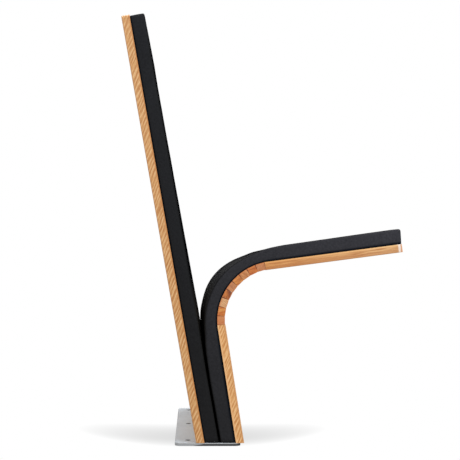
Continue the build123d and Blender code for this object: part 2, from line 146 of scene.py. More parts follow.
class Shade:
    """A material's nodes: an input is a number, a colour or another node's socket."""

    def __init__(self, name=None, material=None):
        self.material = material or bpy.data.materials.new(name)
        self.material.use_nodes = True
        self.tree = self.material.node_tree
        self.shader = self.tree.nodes["Principled BSDF"]
        self.coordinates = self.tree.nodes.new("ShaderNodeTexCoord").outputs

    def put(self, socket, value):
        if isinstance(value, bpy.types.NodeSocket):
            self.tree.links.new(value, socket)
        else:
            socket.default_value = value

    def node(self, kind, *inputs, **settings):
        made = self.tree.nodes.new("ShaderNode" + kind)
        for key, value in settings.items():
            setattr(made, key, value)
        for socket, value in zip(made.inputs, inputs):
            self.put(socket, value)
        return made

    def math(self, operation, *inputs):
        return self.node("Math", *inputs, operation=operation).outputs[0]

    def add(self, *terms):
        total = terms[0]
        for term in terms[1:]:
            total = self.math("ADD", total, term)
        return total

    def times(self, one, two):
        return self.math("MULTIPLY", one, two)

    def dot(self, vector, direction):
        made = self.node("VectorMath", vector, tuple(direction), operation="DOT_PRODUCT")
        return made.outputs["Value"]

    def noise(self, vector, scale=1.0, detail=3.0, roughness=0.5, distortion=0.0):
        made = self.node("TexNoise", vector)
        settings = {"Scale": scale, "Detail": detail, "Roughness": roughness, "Distortion": distortion}
        for name, value in settings.items():
            made.inputs[name].default_value = value
        return made.outputs[0]

    def grain(self, *terms, **settings):
        """Noise drawn out on a run: a term is a coordinate with its cycles per millimetre, or a seed."""
        scaled = [self.times(*term) if isinstance(term, tuple) else term for term in terms]
        return self.noise(self.node("CombineXYZ", *scaled).outputs[0], **settings)

    def ramp(self, factor, *stops):
        made = self.node("ValToRGB", factor)
        elements = made.color_ramp.elements
        while len(elements) < len(stops):
            elements.new(0.5)
        for element, (position, colour) in zip(elements, stops):
            element.position = position
            element.color = srgb(*colour)
        return made.outputs[0]

    def mix(self, factor, one, two, blend="MIX"):
        made = self.node("Mix", data_type="RGBA", blend_type=blend)
        for index, value in zip(MIX_COLOURS, (factor, one, two)):
            self.put(made.inputs[index], value)
        return made.outputs[MIX_RESULT]

    def paint(self, base, colour, mask, strength=1.0):
        """Base with a display colour laid over it where the mask is 1, as strongly as strength says."""
        return self.mix(self.times(mask, strength), base, srgb(*colour))

    def filtered(self, colour, factor):
        """Colour times another colour or a number."""
        if isinstance(factor, float):
            factor = (factor, factor, factor, 1.0)
        return self.mix(1.0, colour, factor, "MULTIPLY")

    def rise(self, value, low, high):
        """0 at low and before it, 1 at high and past it; low may be the larger of the two."""
        return self.node("MapRange", value, low, high).outputs[0]

    def bump(self, height, strength, distance):
        made = self.node("Bump")
        made.inputs["Strength"].default_value = strength
        made.inputs["Distance"].default_value = distance
        self.put(made.inputs["Height"], height)
        return made.outputs[0]

    def finish(self, **inputs):
        for name, value in inputs.items():
            self.put(self.shader.inputs[name.replace("_", " ")], value)
        return self.material


def run_coordinates(shade, run):
    """s, n and x in millimetres on a run."""
    place = shade.coordinates["Object"]
    moved = shade.node("VectorMath", place, tuple(run.origin), operation="SUBTRACT").outputs[0]
    return [shade.dot(moved, direction / MM) for direction in (run.along, run.out, ACROSS)]


# ---- woods ---------------------------------------------------------------------------------------
SIDEWAYS = (0.55, 0.75)  # mask of the sides, by how squarely a face looks along X
PORES = (0.55, 0.75)  # mask of the pores in their noise
STREAK_PITCH = 6.4  # millimetres between the streaks of a sawn side
STREAK_DRIFT = 14.0  # radians by which noise shifts the streaks
HATCH = 0.22  # share of the even streaks in a sawn side, where the rest is fibre
SAWN_SIDE = (
    (0.32, (182, 116, 56)),
    (0.43, (202, 142, 82)),
    (0.54, (218, 165, 104)),
    (0.66, (234, 188, 134)),
)
SEAT_SIDE = ((0.36, (184, 122, 68)), (0.48, (206, 150, 96)), (0.62, (222, 174, 122)))
SEAT_WAVE = 7.0  # millimetres by which noise bends the seat's grain
REAR_TINT = (1.0, 0.8, 0.52, 1.0)  # tints of the seat's side, at the bend and at the front
FRONT_TINT = (1.07, 1.1, 1.06, 1.0)
# masks on the seat's side, in millimetres of n
LOW_PLIES = (-8.5, -10.5)
TOP_PLY = (-3.4, -2.4)
# masks near the seat's front, in millimetres off it
# painted highlight on the seat's side, just behind the lipping
FRONT_HIGHLIGHT = (9.5, 7.0)
LIPPING_EDGE = (3.8, 3.0)
LIPPING_FRONT = (2.4, 1.4)


def side_mask(shade):
    """1 on the faces that look sideways, 0 on the rest."""
    sideways = shade.math("ABSOLUTE", shade.dot(shade.coordinates["Normal"], ACROSS))
    return shade.rise(sideways, *SIDEWAYS)


def front_mask(shade, s, distances):
    """Mask by distance from the seat's front."""
    return shade.rise(s, *(SEAT_MM - distance for distance in distances))


def veneer(shade, s, x):
    """Colour and pore height of a veneer with its grain along the run."""
    grain = shade.grain((s, 0.006), 0.0, (x, 0.11), detail=5, roughness=0.6, distortion=0.6)
    pores = shade.grain((s, 0.05), 0.0, (x, 1.6), detail=2, roughness=0.6)
    colour = shade.ramp(grain, (0.3, (196, 142, 90)), (0.62, (222, 176, 124)))
    return shade.paint(colour, (166, 116, 70), shade.rise(pores, *PORES)), pores


def lacquered(shade, face, side, pores):
    """Lacquered wood with one colour on its faces and another on its sides."""
    return shade.finish(
        Base_Color=shade.mix(side_mask(shade), face, side),
        Roughness=0.42,
        Normal=shade.bump(pores, 0.15, 0.0004),
        Coat_Weight=0.2,
        Coat_Roughness=0.25,
    )


def plywood(name, run, thickness, slant, seed, inner, outer, painted_light=1.0):
    """Panel with veneered faces; its sawn sides show slanting streaks between an inner and an outer ply.

    A ply is given as its colour and its depth in millimetres, and the last argument brightens the sides
    with painted light."""
    shade = Shade(name)
    s, n, x = run_coordinates(shade, run)
    c, d = cos(radians(slant)), sin(radians(slant))
    lengthwise = shade.add(shade.times(s, c), shade.times(n, d))
    crosswise = shade.add(shade.times(s, d), shade.times(n, -c))
    drift = shade.grain((lengthwise, 0.012), (crosswise, 0.06), seed, detail=2)
    turns = shade.add(shade.times(crosswise, 2 * pi / STREAK_PITCH), shade.times(drift, STREAK_DRIFT))
    hatch = shade.add(shade.times(shade.math("SINE", turns), 0.5), 0.5)
    fibre = shade.grain((lengthwise, 0.05), (crosswise, 0.45), seed, detail=4, roughness=0.65)
    streaks = shade.add(shade.times(hatch, HATCH), shade.times(fibre, 1 - HATCH))
    side = shade.ramp(streaks, *SAWN_SIDE)
    colour, depth = inner
    side = shade.paint(side, colour, shade.rise(n, -depth - 0.6, -depth + 0.2), 0.85)
    colour, depth = outer
    edge = depth - thickness / MM
    side = shade.paint(side, colour, shade.rise(n, edge + 0.8, edge - 0.4), 0.6)
    face, pores = veneer(shade, s, x)
    # painted light brightens the sides by the last argument
    return lacquered(shade, face, shade.filtered(side, painted_light), pores)


def seat_wood():
    """Seat panel: long wavy grain on its sides, pale above, orange below, a painted highlight at the
    lipping.
    """
    shade = Shade("seat_wood")
    s, n, x = run_coordinates(shade, SEAT)
    wave = shade.grain((s, 0.02), (n, 0.05), 3.0, detail=2)
    bent = shade.add(n, shade.times(wave, SEAT_WAVE))
    streaks = shade.grain((s, 0.022), (bent, 0.32), 7.0, detail=4, roughness=0.6, distortion=0.25)
    side = shade.ramp(streaks, *SEAT_SIDE)
    side = shade.paint(side, (188, 128, 80), shade.rise(n, *LOW_PLIES), 0.6)
    side = shade.paint(side, (240, 190, 132), shade.rise(n, *TOP_PLY), 0.85)
    side = shade.filtered(side, shade.mix(shade.rise(s, 0.0, SEAT_MM), REAR_TINT, FRONT_TINT))
    # painted highlight, near white, just behind the lipping
    side = shade.paint(side, (252, 236, 222), front_mask(shade, s, FRONT_HIGHLIGHT), 0.85)
    face, pores = veneer(shade, s, x)
    return lacquered(shade, face, side, pores)


def nosing_wood():
    """Lipping: long grain across the seat; pale sawn ends with a painted highlight and a darker front edge.
    """
    shade = Shade("nosing_wood")
    s, n, x = run_coordinates(shade, SEAT)
    grain = shade.grain((x, 0.006), (n, 0.25), 5.0, detail=4, roughness=0.6, distortion=0.4)
    face = shade.ramp(grain, (0.35, (200, 148, 98)), (0.62, (226, 182, 134)))
    # the ends are pale, and a painted highlight makes them nearly white towards the top
    end = shade.mix(shade.rise(n, -15.0, -5.0), srgb(232, 190, 160), srgb(254, 240, 230))
    end = shade.paint(end, (200, 136, 96), front_mask(shade, s, LIPPING_EDGE))
    end = shade.paint(end, (230, 170, 118), front_mask(shade, s, LIPPING_FRONT))
    return lacquered(shade, face, end, grain)


# slats from the lowest up: pale and dark colours of the end, slant of its streaks in degrees
SLAT_ENDS = [
    ((210, 135, 81), (196, 113, 62), 6),
    ((223, 153, 76), (198, 106, 34), 14),
    ((235, 183, 128), (200, 142, 95), -22),
    ((206, 120, 50), (120, 52, 18), -84),
    ((202, 134, 84), (171, 104, 66), -8),
    ((227, 147, 67), (186, 107, 48), 78),
    ((216, 149, 93), (179, 107, 56), 12),
    ((212, 123, 50), (178, 88, 30), 80),
    ((204, 133, 85), (182, 111, 64), -35),
]
# masks on a slat's end, in millimetres
UPHOLSTERED_RIM = (-3.4, -1.6)
OPEN_RIM = (-13.6, -14.8)
JOINT_BEFORE = (1.5, 0.6)
JOINT_AFTER = (17.9, 18.8)
JOINT_FILTER = (0.66, 0.5, 0.36)  # what a joint's edge keeps of the dark colour's red, green and blue


def slat_wood(number, pale, dark, slant):
    """A slat: end grain with orange rims and dark joints on its ends, long grain on its faces."""
    shade = Shade(f"slat_wood_{number}")
    s, n, x = run_coordinates(shade, RUNS[number])
    c, d = cos(radians(slant)), sin(radians(slant))
    crosswise = shade.add(shade.times(s, c), shade.times(n, d))
    lengthwise = shade.add(shade.times(n, c), shade.times(s, -d))
    seed = 3.7 * number
    rings = shade.grain((crosswise, 0.3), (lengthwise, 0.04), seed, detail=3, roughness=0.6, distortion=0.2)
    end = shade.ramp(rings, (0.4, dark), (0.58, pale))
    end = shade.paint(end, (214, 128, 66), shade.rise(n, *UPHOLSTERED_RIM), 0.6)
    end = shade.paint(end, (206, 116, 48), shade.rise(n, *OPEN_RIM), 0.55)
    joints = shade.math("MAXIMUM", shade.rise(s, *JOINT_AFTER), shade.rise(s, *JOINT_BEFORE))
    end = shade.paint(end, [a * b for a, b in zip(dark, JOINT_FILTER)], joints, 0.9)
    grain = shade.grain((x, 0.006), (s, 0.16), 2.3 * number, detail=5, roughness=0.6, distortion=0.5)
    face = shade.ramp(grain, (0.35, dark), (0.62, pale))
    return lacquered(shade, face, end, grain)


def board_material():
    """Brown board behind the back's cushion."""
    shade = Shade("board")
    fibres = shade.noise(shade.coordinates["Object"], scale=400.0, detail=3)
    colour = shade.ramp(fibres, (0.3, (92, 70, 50)), (0.7, (120, 94, 68)))
    return shade.finish(Base_Color=colour, Roughness=0.8, Normal=shade.bump(fibres, 0.2, 0.0003))


# ---- metals --------------------------------------------------------------------------------------
EVEN_GRAIN = (500.0, 500.0, 500.0)  # cycles per metre of a metal's fine texture
DRAWN_GRAIN = (60.0, 900.0, 900.0)  # the same, drawn out along X
UPRIGHT = (0.99, 0.93)  # mask of the upright faces, by how squarely a face looks up
# masks of the painted shade on the floor plate, in metres
OFF_SIDES = (2.6 * MM, 3.4 * MM)
OFF_ENDS = (4 * MM, 5 * MM)
UNDER_CUSHIONS = (21 * MM, 19 * MM)
FOOT_SHADOW = (34 * MM, 8 * MM)
FOOT_HEIGHT = 4.4 * MM
FOOT_SOFTNESS = 0.7 * MM


def metal(name, colour, metallic, roughness, grain=EVEN_GRAIN):
    """Metal or painted metal with a fine texture and slightly uneven gloss."""
    shade = Shade(name)
    place = shade.coordinates["Object"]
    scaled = shade.node("VectorMath", place, grain, operation="MULTIPLY").outputs[0]
    fine = shade.noise(scaled, detail=4, roughness=0.6)
    broad = shade.noise(place, scale=14.0, detail=3)
    tint = shade.ramp(broad, (0.3, [0.94 * value for value in colour]), (0.7, colour))
    gloss = shade.node("MapRange", fine, 0.2, 0.8, roughness - 0.06, roughness + 0.08).outputs[0]
    relief = shade.bump(fine, 0.2, 0.00005)
    return shade.finish(Base_Color=tint, Metallic=metallic, Roughness=gloss, Normal=relief)


def plate_metal():
    """Satin plate: painted shade darkens its bores, the foot of its front edges and its top below the
    cushions.
    """
    shade = Shade(material=metal("floor_plate", (211, 223, 234), metallic=0.1, roughness=0.45))
    x, y, z = shade.node("SeparateXYZ", shade.coordinates["Object"]).outputs[:3]
    upright = shade.rise(shade.dot(shade.coordinates["Normal"], (0, 0, 1)), *UPRIGHT)
    low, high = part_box("base_plate")
    off_sides = shade.rise(shade.math("ABSOLUTE", x), *(high.x - inset for inset in OFF_SIDES))
    off_rear = shade.rise(y, *(high.y - inset for inset in OFF_ENDS))
    off_front = shade.rise(y, *(low.y + inset for inset in OFF_ENDS))
    bore = shade.times(off_sides, shade.times(off_rear, off_front))
    shade_under_cushions = shade.times(shade.rise(y, *UNDER_CUSHIONS), off_sides)
    shadow_top = shade.times(shade.rise(y, *FOOT_SHADOW), FOOT_HEIGHT)
    foot = shade.rise(shade.math("SUBTRACT", shadow_top, z), 0.0, FOOT_SOFTNESS)
    # painted shade: on the top below the cushions, on the bores' walls and at the foot of the front edges
    dark = shade.math("MAXIMUM", shade_under_cushions, shade.times(upright, shade.math("MAXIMUM", bore, foot)))
    tint = shade.shader.inputs["Base Color"].links[0].from_socket
    tint = shade.paint(tint, (166, 168, 170), upright)
    return shade.finish(Base_Color=shade.paint(tint, (24, 25, 28), dark, 0.97))


# ---- cloth ---------------------------------------------------------------------------------------
THREAD_SCALE = 285.0  # of the threads' wave texture
CLOTH_SHINE = 0.1  # specular level
# masks, in metres of cloth
LOW_PART = (0.34, 0.27)  # up from the foot, where one cushion lies beside the other
SEAM_SHADE_BAND = (3.0 * MM, 1.0 * MM)  # off the seam; mask of the painted shade along it
CLEFT_EDGE = (0.8 * MM, 2.8 * MM)  # past the seam; with the low part, mask of the painted light in the cleft
SHADE_AT_WOOD = (4.0 * MM, 1.6 * MM)  # off the wood; mask of the painted shade where the cloth turns under


def fabric(skin, name, foot, top, dulling):
    """Close black cloth with a fine plain weave, from one colour at the foot to another at the far end, as
    painted light that makes it paler towards that end.

    Painted shade makes it darker at a slant, along the seam on its rim and where it turns under at the
    wood.
    Low down beside the other cushion the slant gives a warm grey of painted light instead, and so does the
    cleft between the cushions' lower parts. It doesn't shine in the cleft, nor where it is seen edge on:
    dulling is the mask for that, and 1 in it is exactly edge on."""
    shade = Shade(name)
    uv, place = shade.coordinates["UV"], shade.coordinates["Object"]
    threads = [
        shade.node("TexWave", uv, THREAD_SCALE, 0.5, 1.0, wave_type="BANDS", bands_direction=way).outputs[1]
        for way in ("X", "Y")
    ]
    around, along = shade.node("SeparateXYZ", uv).outputs[:2]
    mottle = shade.noise(place, scale=260.0, detail=4, roughness=0.65)
    broad = shade.noise(place, scale=9.0, detail=3)
    tone = shade.rise(shade.add(shade.times(mottle, 0.75), shade.times(broad, 0.25)), 0.34, 0.66)
    # painted light: the cloth gets paler from the foot towards the far end
    colour = shade.mix(shade.rise(along, 0.0, skin.lengths[0][-1]), srgb(*foot), srgb(*top))
    colour = shade.mix(tone, shade.filtered(colour, 0.76), shade.filtered(colour, 1.24))
    slant = shade.node("LayerWeight", 0.5).outputs[1]
    low = shade.rise(along, *LOW_PART)
    # painted shade: near black where the cloth is seen edge on; low down beside the other cushion, a warm
    # grey of painted light instead
    turned = shade.mix(low, srgb(3, 3, 4), srgb(40, 38, 36))
    colour = shade.mix(shade.times(shade.math("POWER", slant, 1.4), 0.97), colour, turned)
    off_wood = shade.math("MINIMUM", around, shade.math("SUBTRACT", skin.girth, around))
    off_seam = shade.math("ABSOLUTE", shade.math("SUBTRACT", off_wood, skin.seam))
    # painted shade along the seam on the rim
    seam = shade.rise(off_seam, *SEAM_SHADE_BAND)
    colour = shade.paint(colour, (8, 8, 10), seam, shade.add(0.7, shade.times(low, -0.35)))
    # painted light in the shaded cleft between the cushions' lower parts: a flat warm grey
    cleft = shade.times(low, shade.rise(off_wood, *(skin.seam + edge for edge in CLEFT_EDGE)))
    colour = shade.paint(colour, (40, 38, 36), cleft, 0.8)
    # painted shade, bluish black, where the cloth turns under at the wood
    colour = shade.paint(colour, (5, 14, 25), shade.rise(off_wood, *SHADE_AT_WOOD), 0.9)
    dull = shade.math("MAXIMUM", cleft, shade.rise(slant, *dulling))
    height = shade.add(shade.times(shade.math("MAXIMUM", *threads), 0.35), shade.times(mottle, 0.65))
    return shade.finish(
        Base_Color=colour,
        Roughness=0.9,
        Specular_IOR_Level=shade.math("SUBTRACT", CLOTH_SHINE, shade.times(dull, CLOTH_SHINE)),
        Normal=shade.bump(height, 0.2, 0.0005),
    )


# ---- pieces of the CAD frame ---------------------------------------------------------------------
def dress(material, *names):
    for name in names:
        materials = frame["nodes"][name].data.materials
        materials.clear()
        materials.append(material)


def dress_panels():
    back_plies = {"inner": ((206, 136, 72), 2.2), "outer": ((188, 130, 78), 1.8)}
    lower_plies = {"inner": ((232, 178, 120), 2.8), "outer": ((198, 140, 86), 3.8)}
    dress(plywood("back_wood", BACK, BACK_T, slant=32, seed=1.0, **back_plies), "back_panel")
    # painted light makes the lower panel's sides brighter than the back's
    lower = plywood("lower_wood", LOWER, LOWER_T, slant=-32, seed=5.0, painted_light=1.17, **lower_plies)
    dress(lower, "lower_panel")
    dress(seat_wood(), "seat_panel")
    dress(nosing_wood(), "seat_nosing")


def dress_nodes():
    """Materials of the pieces that come from the CAD frame as they are."""
    dress_panels()
    for number, end in enumerate(SLAT_ENDS, 1):
        dress(slat_wood(number, *end), f"slat_{number}")
    dress(board_material(), "back_board")
    dress(plate_metal(), "base_plate")
    inner_steel = metal("inner_steel", (52, 53, 56), metallic=0.4, roughness=0.5)
    dress(inner_steel, "back_spine", "lower_spine", "seat_plate")
    hinge_steel = metal("hinge_steel", (196, 197, 200), metallic=1.0, roughness=0.3, grain=DRAWN_GRAIN)
    dress(hinge_steel, *(name for name in frame["nodes"] if name.startswith(("hinge_leaf", "hinge_rod"))))
    screw_steel = metal("screw_steel", (206, 206, 202), metallic=1.0, roughness=0.28)
    dress(screw_steel, *(name for name in frame["nodes"] if "screws" in name or name == "spring_rivets"))


# ---- forms of the cushions -----------------------------------------------------------------------
CUSHION_HALF = SIDE - 1 * MM
NOSE_INSET = 0.2 * MM  # cushion's front to the seat's front edge
NOSE_LEAN = 0.063  # how far the cushion's front leans out with its height
TOP_INSET = 1.8 * MM  # back cushion's top to the panel's
FOOT_Z = PLATE_TOP + 2 * MM
RIM_R = 4 * MM
BEND_RIM_R = 6.5 * MM
LEAST_RIM_R = 0.2 * MM
END_R = 4.8 * MM  # rounding of a free end's top edge
END_FLAT = 25 * MM  # the crown comes down to the sides' height over this much of a free end
CORNER_R = 8 * MM  # corners of the back cushion's top; a free end's close rings start as far off it
FRONT_R = 3.5 * MM  # corners of the seat cushion's front, seen from above
TUCK = 1.4 * MM  # how far the cloth turns under at the wood
BASE = 0.35 * MM  # shadow gap at the wood
POCKET = 8.0 * MM  # hollow under the seat cushion for the hinges and springs
POCKET_HALF = 219 * MM
POCKET_END = 232 * MM  # where it closes along the seat
CLOSED_POCKET = BASE + 0.3 * MM
BOARD_POCKET = 3.3 * MM  # hollow under the back cushion for its board
BOARD_HALF = 239.3 * MM
BOARD_END = 9 * MM  # the hollow ends this far from the cushion's top
SEAT_WAIST, BACK_WAIST = 1.6 * MM, 2.5 * MM  # how far the sides are drawn in at the middle
DRAWN_X, DRAWN_N = 0.99, 0.88  # what a flat end's inner ring keeps of its width and height
LEAN_FADE = 60 * MM  # an end's lean fades over this much of the cushion
UNEVENNESS = 0.3 * MM  # of the stuffed cloth
SEAT_SPACING, BACK_SPACING = 7 * MM, 9 * MM  # between rings
BEND_STEPS = 6  # rings over each hinge line
END_STEPS = 9  # rings round a free end's edge
SIDE_POINTS, RIM_POINTS, TOP_POINTS = 6, 6, 24
POCKET_POINTS = 4
# thickness at the sides and at the crown, in millimetres: of the seat's cushion against the distance past
# the start of the bend, and of the back's against the distance along it
EDGE_KEYS = [
    (-232, 30.5), (-188, 31.0), (-146, 31.6), (-105, 32.2), (-63, 31.9), (-32, 31.1), (4, 26.8), (40, 25.2),
    (80, 25.0), (105, 24.5), (135, 23.2), (165, 22.9), (180, 24.0), (198, 27.6), (215, 29.0), (235, 30.0),
    (300, 30.8), (385, 31.8), (430, 32.1), (458, 32.0), (473, 31.4),
]
CROWN_KEYS = [
    (-232, 32.1), (-176, 32.5), (-116, 32.8), (-56, 33.2), (0, 34.0), (9, 33.9), (17, 33.5), (29, 32.7),
    (46, 31.2), (75, 31.4), (101, 30.3), (126, 27.9), (148, 25.4), (168, 24.0), (189, 25.2), (210, 28.4),
    (235, 30.5), (300, 31.4), (385, 32.6), (458, 32.6), (473, 31.8),
]
BACK_EDGE_KEYS = [
    (0, 28.9), (150, 28.6), (205, 29.2), (330, 29.5), (700, 29.4), (800, 29.4), (860, 30.6), (896, 31.0),
]
BACK_CROWN_KEYS = [
    (0, 32.3), (60, 32.9), (120, 33.6), (180, 34.2), (236, 34.5), (262, 34.6), (290, 34.1), (350, 33.6),
    (408, 33.0), (525, 32.2), (643, 31.5), (761, 30.9), (855, 31.0), (896, 31.3),
]


def steps(count):
    return [k / count for k in range(count + 1)]


def eased(keys, place):
    """Value at a place on a smooth curve through (place, value) keys."""
    if not keys[0][0] < place < keys[-1][0]:
        return keys[0 if place <= keys[0][0] else -1][1]
    i = next(k for k, key in enumerate(keys) if place <= key[0])
    slopes = []
    for j in (i - 1, i):
        low, high = keys[max(j - 1, 0)], keys[min(j + 1, len(keys) - 1)]
        slopes.append((high[1] - low[1]) / (high[0] - low[0]))
    (low, one), (high, two) = keys[i - 1], keys[i]
    reach = high - low
    t = (place - low) / reach
    bulge = t * (1 - t) * reach * ((1 - t) * slopes[0] - t * slopes[1])
    return one + (two - one) * t * t * (3 - 2 * t) + bulge


def seat_thickness(along):
    """Heights of the seat cushion's sides and crown."""
    return eased(EDGE_KEYS, along) * MM, eased(CROWN_KEYS, along) * MM


def seat_rim(along):
    """Rim radius of the seat's cushion: rounder in the bend."""
    return eased([(-60, RIM_R), (0, BEND_RIM_R), (140, BEND_RIM_R), (200, RIM_R)], along)


def ring_section(half, edge, crown, base, rim, pocket_half, pocket):
    """Closed section of a cushion as (x, n): from the right side over the top to the left, then below."""
    upright = edge - rim - base
    side = [(half - TUCK * (1 - t) ** 5, base + t * upright) for t in steps(SIDE_POINTS)[:-1]]
    turn = [pi / 2 * t for t in steps(RIM_POINTS)]
    side += [(half - rim + rim * cos(a), edge - rim + rim * sin(a)) for a in turn]
    side += [((half - rim) * t, edge + (crown - edge) * (1 - t**2.6)) for t in steps(TOP_POINTS)[-2::-1]]
    below = [(-pocket_half, base), (-pocket_half, pocket), (pocket_half, pocket), (pocket_half, base)]
    return side + [(-x, n) for x, n in side[-2::-1]] + below


def drawn_together(section):
    """Section a little smaller, which keeps a flat end flat in its shading."""
    middle = sum(n for _, n in section) / len(section)
    return [(x * DRAWN_X, middle + (n - middle) * DRAWN_N) for x, n in section]


def drawn_in(t, depth):
    """How far a side is drawn in at a share t of its run."""
    return depth * sin(pi * min(max(t, 0.0), 1.0)) ** 1.2


def shortfall(radius, distance):
    """How far a quarter circle of this radius is from its tangent at a distance from its end."""
    if distance >= radius:
        return 0.0
    return radius - sqrt(max(radius**2 - (radius - distance) ** 2, 0.0))


def free_end(distance, half, edge, crown, rim, corner):
    """Half width, side and crown heights and rim radius at a distance from a free end."""
    fall = shortfall(END_R, distance)
    near = 1 - min(distance / END_FLAT, 1.0)
    crown = crown - (crown - edge) * near**2
    rim = max(rim * (1 - fall / END_R), LEAST_RIM_R)
    return half - shortfall(corner, distance), edge - fall, crown - fall, rim


def fading(distance):
    """1 at an end, 0 where its lean has faded."""
    return max(1 - distance / LEAN_FADE, 0.0)


def level_lean(run, distance):
    """Lean that makes a run's foot level, and fades with the distance from it."""
    return -run.out.z / run.along.z * fading(distance)


def lay_ring(points, run, s, lean=0.0):
    """Ring's points on a run at s; a lean moves each along the run by that much of its height."""
    return [run.at(s + lean * n, n, x) for x, n in points]


def level_foot(run):
    """Where a run passes the height of the cushions' feet."""
    return (FOOT_Z - run.origin.z) / run.along.z


def end_places(s_low, s_high, spacing):
    """Places from s_low to a free end at s_high, close together round its edge."""
    fine = [s_high - CORNER_R * (1 - cos(pi / 2 * (1 - t))) for t in steps(END_STEPS)]
    count = round((s_high - CORNER_R - s_low) / spacing)
    return [s_low + (s_high - CORNER_R - s_low) * t for t in steps(count)][:-1] + fine


def lower_rings():
    """Rings of the seat's cushion from its level foot to the start of the bend."""
    low, high = level_foot(LOWER), -PITCH / 2
    count = round((high - low) / SEAT_SPACING)
    rings = []
    for s in [low + (high - low) * t for t in steps(count)]:
        half = CUSHION_HALF - drawn_in((s - low) / (high - low), SEAT_WAIST)
        along = (s - high) / MM
        section = ring_section(half, *seat_thickness(along), BASE, seat_rim(along), POCKET_HALF, POCKET)
        rings.append(lay_ring(section, LOWER, s, level_lean(LOWER, s - low)))
    return rings


def hinge_rings(k):
    """Rings over hinge line k, which end at the middle of the next link."""
    rings = []
    for step in range(1, BEND_STEPS + 1):
        angle = (k - 1 + step / BEND_STEPS) * FOLD
        along = ARC_R * angle / MM
        edge, crown = seat_thickness(along)
        base = BASE + ARC_R / cos(FOLD * min(step, BEND_STEPS - step) / BEND_STEPS) - ARC_R
        section = ring_section(CUSHION_HALF, edge, crown, base, seat_rim(along), POCKET_HALF, POCKET)
        rings.append(lay_ring([(x, n + ARC_R) for x, n in section], bend_run(angle), 0.0))
    return rings


def front_rings():
    """Rings past the bend, up to the cushion's free front."""
    low, high = PITCH / 2, SEAT_LEN - NOSE_INSET
    rings = []
    for s in end_places(low, high, SEAT_SPACING)[1:]:
        half = CUSHION_HALF - drawn_in((s - low) / (high - low), SEAT_WAIST)
        along = (BEND_LEN + s - low) / MM
        edge, crown = seat_thickness(along)
        half, edge, crown, rim = free_end(high - s, half, edge, crown, seat_rim(along), FRONT_R)
        pocket = POCKET if s < POCKET_END else CLOSED_POCKET
        section = ring_section(half, edge, crown, BASE, rim, POCKET_HALF, pocket)
        rings.append(lay_ring(section, SEAT, s, NOSE_LEAN * fading(high - s)))
    rings.append(lay_ring(drawn_together(section), SEAT, high, NOSE_LEAN))
    return rings


def seat_rings():
    """Rings of the seat's one cushion and the ring numbers of the mid-links."""
    rings = lower_rings()
    marks = [len(rings) - 1]
    for k in range(1, len(HINGES) + 1):
        rings += hinge_rings(k)
        marks.append(len(rings) - 1)
    return rings + front_rings(), marks


def back_rings():
    """Rings of the back's cushion from its level foot to its free top."""
    low, high = level_foot(BACK), BACK_LEN - TOP_INSET
    rings = []
    for s in end_places(low, high, BACK_SPACING):
        half = CUSHION_HALF - drawn_in((s - low) / (high - low), BACK_WAIST)
        edge, crown = eased(BACK_EDGE_KEYS, s / MM) * MM, eased(BACK_CROWN_KEYS, s / MM) * MM
        half, edge, crown, rim = free_end(high - s, half, edge, crown, RIM_R, CORNER_R)
        pocket = BOARD_POCKET if s < high - BOARD_END else CLOSED_POCKET
        pocket_half = min(BOARD_HALF, half - TUCK - 1 * MM)
        section = ring_section(half, edge, crown, BASE, rim, pocket_half, pocket)
        rings.append(lay_ring(section, BACK, s, level_lean(BACK, s - low)))
    rings.append(lay_ring(drawn_together(section), BACK, high))
    return rings


# ---- skins of the cushions -----------------------------------------------------------------------
STILL_POINTS = 3  # a ring's points at each foot that stay on the wood
BROAD_WAVES, FINE_WAVES = 18.0, 55.0  # of the unevenness, per metre
FINE_SHARE = 0.35
END_SPREAD = 0.8  # width of a flat end in the weave, against its own


def add_object(name, data):
    obj = bpy.data.objects.new(name, data)
    bpy.context.scene.collection.objects.link(obj)
    return obj


